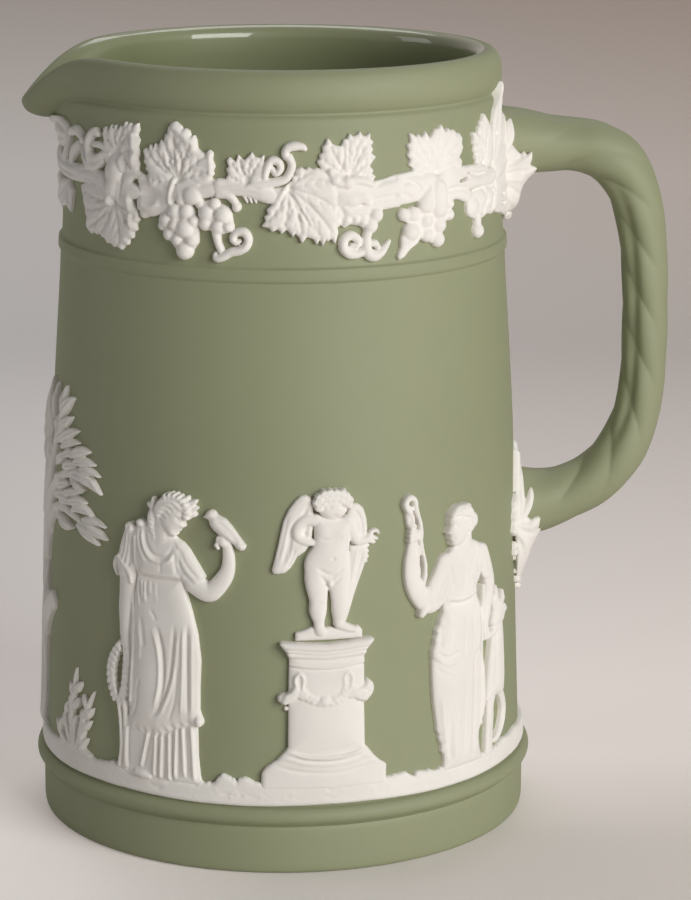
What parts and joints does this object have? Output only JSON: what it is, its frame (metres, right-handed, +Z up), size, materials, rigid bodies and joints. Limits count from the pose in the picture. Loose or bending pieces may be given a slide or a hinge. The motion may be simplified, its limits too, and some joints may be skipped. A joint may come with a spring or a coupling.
{
  "type": "jasperware jug",
  "caption": "Sage green jasper stoneware jug with a pulled lip, twisted loop handle, white vine border and a frieze of robed figures round a garlanded altar.",
  "frame": {"origin": "on the axis of the body, at the middle of the flat underside", "axes": "+Z up the axis of the body to the rim, +X from the axis through the handle, -X through the pouring lip; the frieze side seen first faces -Y"},
  "size_m": [0.1583, 0.1242, 0.19],
  "materials": {
    "green_jasper": "matt, fine grained, smooth to the touch; glossy clear glaze inside the body only",
    "white_jasper": "matt unglazed white, slightly warm, thin where the relief runs out"
  },
  "bodies": {
    "root": {"jug_body": "green_jasper", "handle": "green_jasper", "handle_leaf_upper": "white_jasper", "handle_leaf_lower": "white_jasper", "ground_strip_front": "white_jasper", "ground_strip_back": "white_jasper", "tree_front": "white_jasper", "tree_back": "white_jasper", "shrub_front": "white_jasper", "shrub_back": "white_jasper", "maiden_with_bird_front": "white_jasper", "maiden_with_bird_back": "white_jasper", "altar_front": "white_jasper", "altar_back": "white_jasper", "winged_child_front": "white_jasper", "winged_child_back": "white_jasper", "maiden_with_serpent_front": "white_jasper", "maiden_with_serpent_back": "white_jasper", "hound_front": "white_jasper", "hound_back": "white_jasper", "vine_bud_front": "white_jasper", "vine_bud_back": "white_jasper", "vine_leaf_pair_front": "white_jasper", "vine_leaf_pair_back": "white_jasper", "vine_grapes_left_front": "white_jasper", "vine_grapes_left_back": "white_jasper", "vine_leaf_middle_front": "white_jasper", "vine_leaf_middle_back": "white_jasper", "vine_grapes_middle_front": "white_jasper", "vine_grapes_middle_back": "white_jasper", "vine_grapes_right_front": "white_jasper", "vine_grapes_right_back": "white_jasper", "vine_end_front": "white_jasper", "vine_end_back": "white_jasper"}
  },
  "joints": []
}
